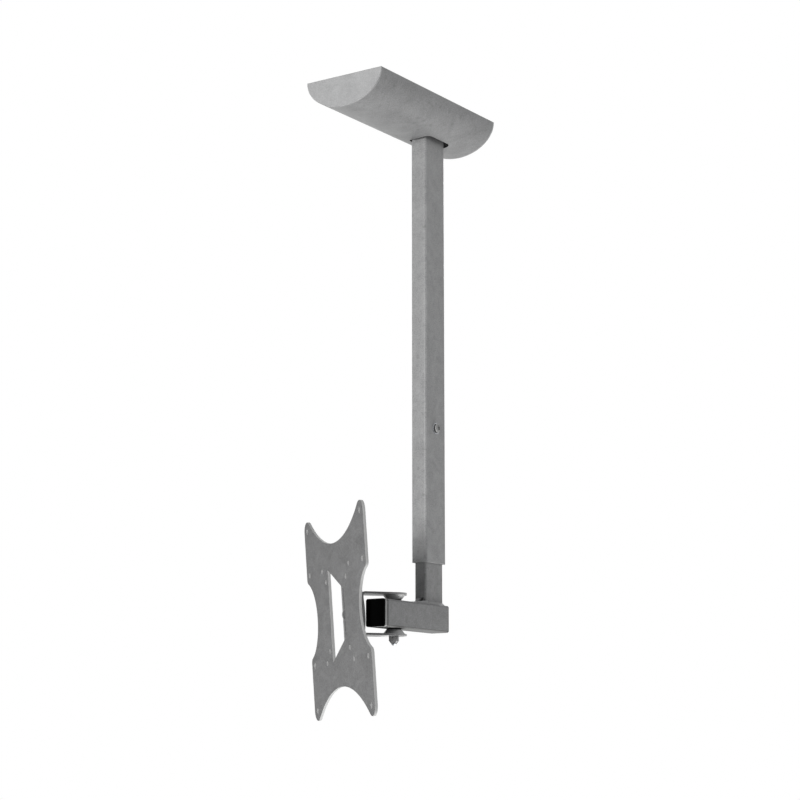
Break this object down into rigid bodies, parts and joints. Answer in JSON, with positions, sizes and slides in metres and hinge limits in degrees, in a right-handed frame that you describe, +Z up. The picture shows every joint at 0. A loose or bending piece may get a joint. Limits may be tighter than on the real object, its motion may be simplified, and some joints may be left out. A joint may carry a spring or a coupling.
{
  "type": "tv ceiling mount",
  "caption": "Telescoping ceiling column with a half-elliptical cover, a short arm, and a swivelling and tilting butterfly plate for a flat screen.",
  "frame": {"origin": "column axis in the ceiling plane, on the ceiling plate's top face", "axes": "+Z up to the ceiling; -Y along the arm to its free front end, the viewing side; +X to the right seen from the front"},
  "size_m": [0.1877, 0.2578, 0.6956],
  "materials": {
    "grey_coat": "mottled grey powder coat",
    "zinc_plate": "zinc plated",
    "zinc": "zinc plated",
    "spring_steel": "plain spring steel",
    "black_plastic": "satin black"
  },
  "bodies": {
    "column": {"ceiling_plate": "zinc_plate", "column_tube": "grey_coat", "column_weld": "grey_coat", "lock_bush": "zinc", "cover_clip_front": "spring_steel", "cover_clip_rear": "spring_steel", "cover_clip_rivets": "zinc"},
    "cover": {"cover_shell": "grey_coat", "cover_end_front": "grey_coat", "cover_end_rear": "grey_coat"},
    "lock_screw": {"lock_screw": "zinc"},
    "drop": {"inner_tube": "grey_coat", "inner_guide": "black_plastic", "foot_weld": "grey_coat", "arm_tube": "grey_coat", "arm_plug_front": "black_plastic", "arm_plug_rear": "black_plastic", "swivel_sleeve": "zinc"},
    "fork": {"swivel_fork": "grey_coat", "swivel_bolt": "zinc", "swivel_washer": "zinc", "swivel_spring_washer": "zinc", "swivel_nut": "zinc", "friction_pad_top": "black_plastic", "friction_pad_bottom": "black_plastic", "tilt_sleeve": "zinc", "tilt_washers": "black_plastic"},
    "head": {"mounting_plate": "grey_coat", "tilt_bracket": "grey_coat", "bracket_welds": "grey_coat", "tilt_bolt": "grey_coat", "tilt_nut": "zinc"}
  },
  "joints": [
    {"name": "cover_slide", "type": "slide", "parent": "column", "child": "cover", "axis": [0, 0, -1], "range_m": [0, 0.3]},
    {"name": "lock_turn", "type": "hinge", "parent": "column", "child": "lock_screw", "pos_m": [0.01, 0, -0.371], "axis": [1, 0, 0], "continuous": true},
    {"name": "height_slide", "type": "slide", "parent": "column", "child": "drop", "axis": [0, 0, -1], "range_m": [-0.036, 0.22]},
    {"name": "swivel", "type": "hinge", "parent": "drop", "child": "fork", "pos_m": [0, -0.0685, -0.584], "axis": [0, 0, 1], "range_deg": [-52.5, 127.5]},
    {"name": "tilt", "type": "hinge", "parent": "fork", "child": "head", "pos_m": [-0.02825, -0.10531, -0.584], "axis": [0.7934, -0.6088, 0], "range_deg": [-9, 11]}
  ]
}
